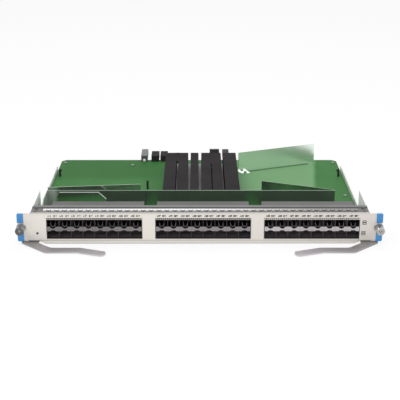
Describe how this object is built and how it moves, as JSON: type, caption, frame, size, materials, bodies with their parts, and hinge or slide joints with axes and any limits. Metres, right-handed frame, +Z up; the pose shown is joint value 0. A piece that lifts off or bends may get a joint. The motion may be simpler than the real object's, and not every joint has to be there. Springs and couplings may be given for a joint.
{
  "type": "switch line card",
  "caption": "Chassis line card with stacked pluggable ports in a metal front panel, two ejector levers, captive thumbscrews, circuit board with heat sink and air baffles.",
  "frame": {"origin": "bottom edge of the front panel's front face, in the middle of the panel's width", "axes": "+X to the right seen from the front, +Y backwards into the chassis, +Z up"},
  "size_m": [0.4422, 0.3862, 0.0407],
  "materials": {
    "panel_paint": "fine powder coat, warm off-white",
    "cap_blue": "moulded, satin",
    "lens_dark": "smooth",
    "flange_zinc": "zinc plated sheet",
    "screw_zinc": "zinc plated",
    "finger_steel": "bright spring sheet",
    "screw_steel": "turned, satin",
    "lever_grey": "satin grey",
    "bracket_zinc": "zinc plated sheet",
    "cage_nickel": "nickel plated sheet",
    "separator_metal": "nickel plated",
    "spring_bronze": "plated spring sheet",
    "connector_black": "moulded, matt",
    "tray_zinc": "zinc plated sheet",
    "board_green": "solder mask, satin",
    "baffle_aluminium": "plain folded sheet",
    "sink_black": "black anodised",
    "chip_black": "moulded",
    "guide_cast": "die cast"
  },
  "bodies": {
    "card": {"base_tray": "tray_zinc", "board_screws": "screw_zinc", "board_standoffs": "tray_zinc", "circuit_board": "board_green", "emi_finger_strip": "finger_steel", "end_cap_left_lower": "cap_blue", "end_cap_left_upper": "cap_blue", "end_cap_right_lower": "cap_blue", "end_cap_right_upper": "cap_blue", "flange_screws": "screw_zinc", "front_baffle": "baffle_aluminium", "front_panel": "panel_paint", "guide_block_left": "guide_cast", "guide_block_right": "guide_cast", "heat_sink_bar_1": "sink_black", "heat_sink_bar_2": "sink_black", "heat_sink_bar_3": "sink_black", "heat_sink_bar_4": "sink_black", "heat_sink_bar_5": "sink_black", "heat_sink_bar_6": "sink_black", "heat_sink_base": "sink_black", "left_baffle": "baffle_aluminium", "lever_bracket_left": "bracket_zinc", "lever_bracket_right": "bracket_zinc", "lever_pins": "bracket_zinc", "port_cage_centre": "cage_nickel", "port_cage_left": "cage_nickel", "port_cage_right": "cage_nickel", "port_connectors_centre": "connector_black", "port_connectors_left": "connector_black", "port_connectors_right": "connector_black", "port_dividers_centre": "cage_nickel", "port_dividers_left": "cage_nickel", "port_dividers_right": "cage_nickel", "port_floor_centre": "cage_nickel", "port_floor_left": "cage_nickel", "port_floor_right": "cage_nickel", "port_separator_centre": "separator_metal", "port_separator_left": "separator_metal", "port_separator_right": "separator_metal", "port_springs_centre": "spring_bronze", "port_springs_left": "spring_bronze", "port_springs_right": "spring_bronze", "power_connector_left": "connector_black", "power_connector_right": "connector_black", "rear_baffle": "baffle_aluminium", "right_baffle": "baffle_aluminium", "screw_ferrules": "screw_steel", "side_plate_left": "baffle_aluminium", "side_plate_right": "baffle_aluminium", "signal_connector": "connector_black", "status_lens": "lens_dark", "switch_chips": "chip_black", "top_flange": "flange_zinc"},
    "screw_ring_left_body": {"screw_ring_left": "screw_steel"},
    "screw_ring_right_body": {"screw_ring_right": "screw_steel"},
    "captive_screw_left_body": {"captive_screw_left": "screw_steel"},
    "captive_screw_right_body": {"captive_screw_right": "screw_steel"},
    "lever_left_body": {"ejector_lever_left": "lever_grey"},
    "lever_right_body": {"ejector_lever_right": "lever_grey"}
  },
  "joints": [
    {"name": "screw_push_left", "type": "slide", "parent": "card", "child": "screw_ring_left_body", "axis": [0, 1, 0], "range_m": [0, 0.0045]},
    {"name": "screw_turn_left", "type": "hinge", "parent": "screw_ring_left_body", "child": "captive_screw_left_body", "pos_m": [-0.2153, 0, 0.0212], "axis": [0, 1, 0], "continuous": true},
    {"name": "lever_swing_left", "type": "hinge", "parent": "card", "child": "lever_left_body", "pos_m": [-0.204, 0.009, 0.0018], "axis": [0, 0, 1], "range_deg": [-60, 0]},
    {"name": "screw_push_right", "type": "slide", "parent": "card", "child": "screw_ring_right_body", "axis": [0, 1, 0], "range_m": [0, 0.0045]},
    {"name": "screw_turn_right", "type": "hinge", "parent": "screw_ring_right_body", "child": "captive_screw_right_body", "pos_m": [0.2153, 0, 0.0212], "axis": [0, 1, 0], "continuous": true},
    {"name": "lever_swing_right", "type": "hinge", "parent": "card", "child": "lever_right_body", "pos_m": [0.204, 0.009, 0.0018], "axis": [0, 0, 1], "range_deg": [0, 60]}
  ]
}
